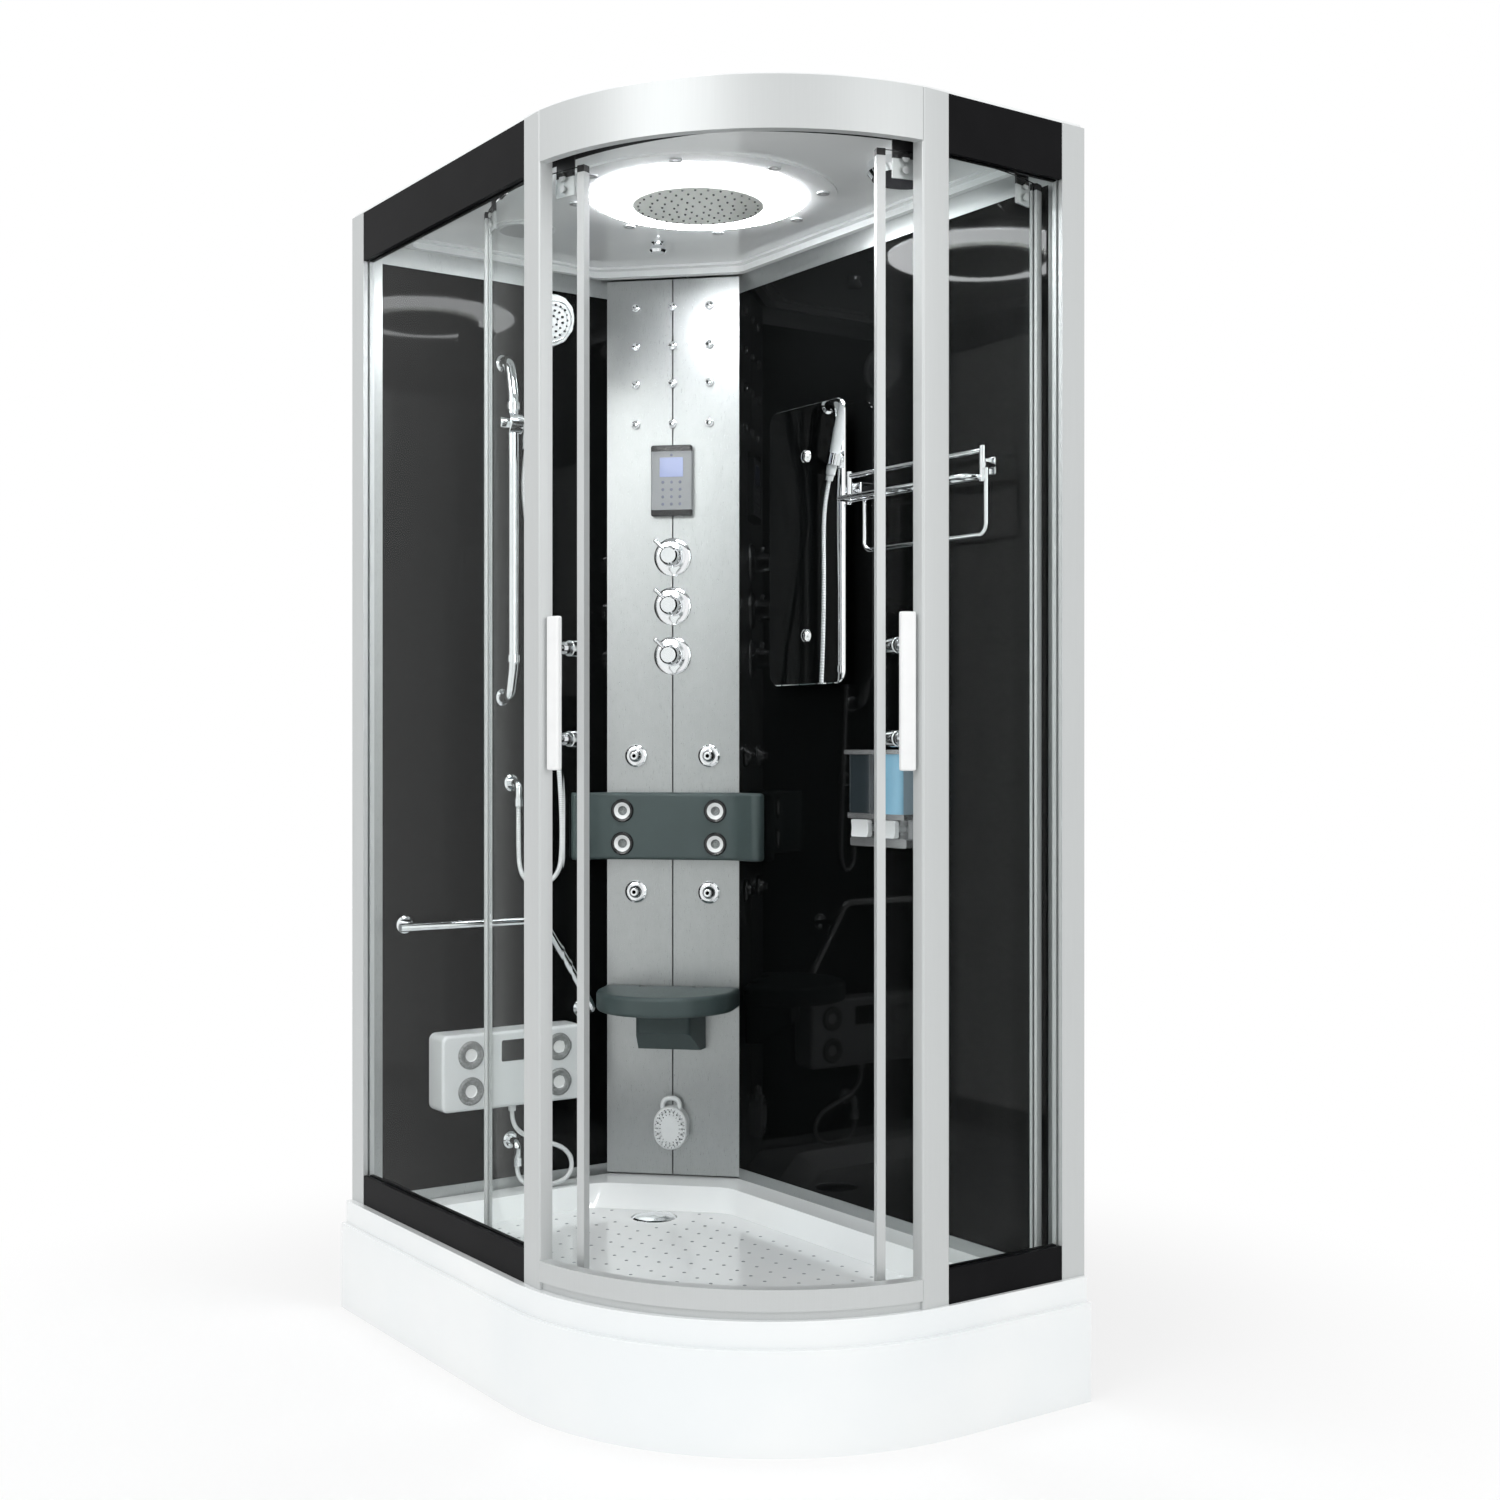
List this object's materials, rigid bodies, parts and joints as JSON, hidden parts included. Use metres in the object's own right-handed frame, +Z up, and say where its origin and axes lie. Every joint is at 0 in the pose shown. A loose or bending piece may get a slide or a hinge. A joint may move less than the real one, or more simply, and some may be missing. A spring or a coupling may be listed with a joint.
{
  "type": "steam shower cabin",
  "caption": "Corner steam shower cabin with a curved sliding-door entrance, fitted column, seat, hand shower, rain head and low tray.",
  "frame": {"origin": "on the floor under the middle of the tray's outline", "axes": "+Z up, X along the long back wall with the entrance corner at +X, +Y from the glazed front to the back wall"},
  "size_m": [1.2, 0.8, 2.139],
  "materials": {
    "white_acrylic": "gloss",
    "frame_steel": "satin",
    "chrome": "polished",
    "pipe_grey": "matte",
    "clear_glass": "gloss",
    "black_rail": "satin",
    "satin_aluminium": "satin",
    "white_metal": "gloss",
    "brushed_aluminium": "brushed",
    "black_glass": "gloss",
    "lamp_white": "gloss",
    "panel_grey": "satin",
    "display_lavender": "gloss",
    "slate_plastic": "satin",
    "ring_grey": "satin",
    "light_plastic": "satin",
    "hose_white": "satin",
    "mirror": "polished",
    "wheel_nylon": "satin"
  },
  "bodies": {
    "cabin": {"back_massager": "slate_plastic", "bottom_rail": "satin_aluminium", "ceiling_fittings": "chrome", "ceiling_lights": "lamp_white", "column_flanges": "chrome", "column_panels": "brushed_aluminium", "control_keys": "display_lavender", "control_panel": "panel_grey", "door_tracks": "black_rail", "drain_trap": "pipe_grey", "fixed_glass": "clear_glass", "foot_massager": "light_plastic", "glass_bars": "black_rail", "grab_bar": "chrome", "header_cover": "satin_aluminium", "hose_elbows": "chrome", "massage_rings": "ring_grey", "massager_hose": "hose_white", "micro_nozzles": "chrome", "rain_head": "chrome", "riser_bar": "chrome", "roof_shell": "white_acrylic", "seat_bracket": "slate_plastic", "shower_hose": "hose_white", "soap_dispenser": "light_plastic", "steam_and_water_supply": "pipe_grey", "steam_outlet": "light_plastic", "towel_rack": "chrome", "tray_basin": "white_acrylic", "tray_frame": "frame_steel", "tray_skirt": "white_acrylic", "upright_profiles": "satin_aluminium", "wall_frames": "brushed_aluminium", "wall_glass": "black_glass", "wall_mirror": "mirror"},
    "front_door": {"front_door_glass": "clear_glass", "front_door_frame": "satin_aluminium", "front_door_handle": "white_metal"},
    "side_door": {"side_door_glass": "clear_glass", "side_door_frame": "satin_aluminium", "side_door_handle": "white_metal"},
    "drain_cover": {"drain_cover": "chrome"},
    "fan_rotor": {"fan_rotor": "pipe_grey"},
    "folding_seat": {"folding_seat": "slate_plastic"},
    "shower_slider": {"shower_slider": "chrome"},
    "handset": {"handset_holder": "chrome", "handset": "light_plastic"},
    "soap_lever_left": {"soap_lever_left": "light_plastic"},
    "soap_lever_right": {"soap_lever_right": "light_plastic"},
    "front_door_rear_wheel": {"front_door_rear_wheel": "wheel_nylon"},
    "side_door_rear_wheel": {"side_door_rear_wheel": "wheel_nylon"},
    "front_door_lead_wheel": {"front_door_lead_wheel": "wheel_nylon"},
    "side_door_lead_wheel": {"side_door_lead_wheel": "wheel_nylon"},
    "control_knob_upper": {"control_knob_upper": "chrome"},
    "control_knob_middle": {"control_knob_middle": "chrome"},
    "control_knob_lower": {"control_knob_lower": "chrome"},
    "body_jet_upper_left": {"body_jet_upper_left": "chrome"},
    "body_jet_upper_right": {"body_jet_upper_right": "chrome"},
    "body_jet_lower_left": {"body_jet_lower_left": "chrome"},
    "body_jet_lower_right": {"body_jet_lower_right": "chrome"}
  },
  "joints": [
    {"name": "front_door_close", "type": "hinge", "parent": "cabin", "child": "front_door", "pos_m": [0.02414, 0.27151, 1.1], "axis": [0, 0, 1], "range_deg": [0, 22.6]},
    {"name": "side_door_close", "type": "hinge", "parent": "cabin", "child": "side_door", "pos_m": [-0.06551, 0.18186, 1.1], "axis": [0, 0, -1], "range_deg": [0, 22.6]},
    {"name": "front_door_rear_wheel_roll", "type": "hinge", "parent": "front_door", "child": "front_door_rear_wheel", "pos_m": [-0.09793, -0.3183, 2.038], "axis": [-0.2027, -0.9792, 0], "continuous": true},
    {"name": "side_door_rear_wheel_roll", "type": "hinge", "parent": "side_door", "child": "side_door_rear_wheel", "pos_m": [0.5243, 0.30393, 2.038], "axis": [0.9792, 0.2027, 0], "continuous": true},
    {"name": "front_door_lead_wheel_roll", "type": "hinge", "parent": "front_door", "child": "front_door_lead_wheel", "pos_m": [0.14518, -0.31851, 2.038], "axis": [0.201, -0.9796, 0], "continuous": true},
    {"name": "side_door_lead_wheel_roll", "type": "hinge", "parent": "side_door", "child": "side_door_lead_wheel", "pos_m": [0.52451, 0.06082, 2.038], "axis": [0.9796, -0.201, 0], "continuous": true},
    {"name": "drain_cover_lift", "type": "slide", "parent": "cabin", "child": "drain_cover", "axis": [0, 0, 1], "range_m": [0, 0.04]},
    {"name": "fan_spin", "type": "hinge", "parent": "cabin", "child": "fan_rotor", "pos_m": [0.35, 0.217, 2.085], "axis": [0, 0, 1], "continuous": true},
    {"name": "control_knob_upper_turn", "type": "hinge", "parent": "cabin", "child": "control_knob_upper", "pos_m": [-0.4665, 0.2665, 1.464], "axis": [0.7071, -0.7071, 0], "range_deg": [-90, 90]},
    {"name": "control_knob_middle_turn", "type": "hinge", "parent": "cabin", "child": "control_knob_middle", "pos_m": [-0.4665, 0.2665, 1.363], "axis": [0.7071, -0.7071, 0], "range_deg": [-90, 90]},
    {"name": "control_knob_lower_turn", "type": "hinge", "parent": "cabin", "child": "control_knob_lower", "pos_m": [-0.4665, 0.2665, 1.261], "axis": [0.7071, -0.7071, 0], "range_deg": [-90, 90]},
    {"name": "body_jet_upper_left_tilt", "type": "hinge", "parent": "cabin", "child": "body_jet_upper_left", "pos_m": [-0.51847, 0.20958, 1.055], "axis": [0.7071, 0.7071, 0], "range_deg": [-12, 12]},
    {"name": "body_jet_upper_right_tilt", "type": "hinge", "parent": "cabin", "child": "body_jet_upper_right", "pos_m": [-0.40958, 0.31847, 1.055], "axis": [0.7071, 0.7071, 0], "range_deg": [-12, 12]},
    {"name": "body_jet_lower_left_tilt", "type": "hinge", "parent": "cabin", "child": "body_jet_lower_left", "pos_m": [-0.51847, 0.20958, 0.775], "axis": [0.7071, 0.7071, 0], "range_deg": [-12, 12]},
    {"name": "body_jet_lower_right_tilt", "type": "hinge", "parent": "cabin", "child": "body_jet_lower_right", "pos_m": [-0.40958, 0.31847, 0.775], "axis": [0.7071, 0.7071, 0], "range_deg": [-12, 12]},
    {"name": "seat_fold", "type": "hinge", "parent": "cabin", "child": "folding_seat", "pos_m": [-0.45519, 0.25519, 0.572], "axis": [-0.7071, -0.7071, 0], "range_deg": [0, 86]},
    {"name": "shower_slider_height", "type": "slide", "parent": "cabin", "child": "shower_slider", "axis": [0, 0, 1], "range_m": [-0.4, 0], "deforming": ["shower_hose"]},
    {"name": "handset_tilt", "type": "hinge", "parent": "shower_slider", "child": "handset", "pos_m": [-0.513, -0.063, 1.711], "axis": [0, 1, 0], "range_deg": [-18, 14], "deforming": ["shower_hose"]},
    {"name": "soap_lever_left_push", "type": "slide", "parent": "cabin", "child": "soap_lever_left", "axis": [0, 1, 0], "range_m": [0, 0.008], "stiffness_N_per_m": 300, "springref_m": -0.004},
    {"name": "soap_lever_right_push", "type": "slide", "parent": "cabin", "child": "soap_lever_right", "axis": [0, 1, 0], "range_m": [0, 0.008], "stiffness_N_per_m": 300, "springref_m": -0.004}
  ],
  "couplings": [
    {"joint": "front_door_rear_wheel_roll", "follows": "front_door_close", "ratio": -54.755},
    {"joint": "side_door_rear_wheel_roll", "follows": "side_door_close", "ratio": 54.755},
    {"joint": "front_door_lead_wheel_roll", "follows": "front_door_close", "ratio": -54.755},
    {"joint": "side_door_lead_wheel_roll", "follows": "side_door_close", "ratio": 54.755}
  ]
}
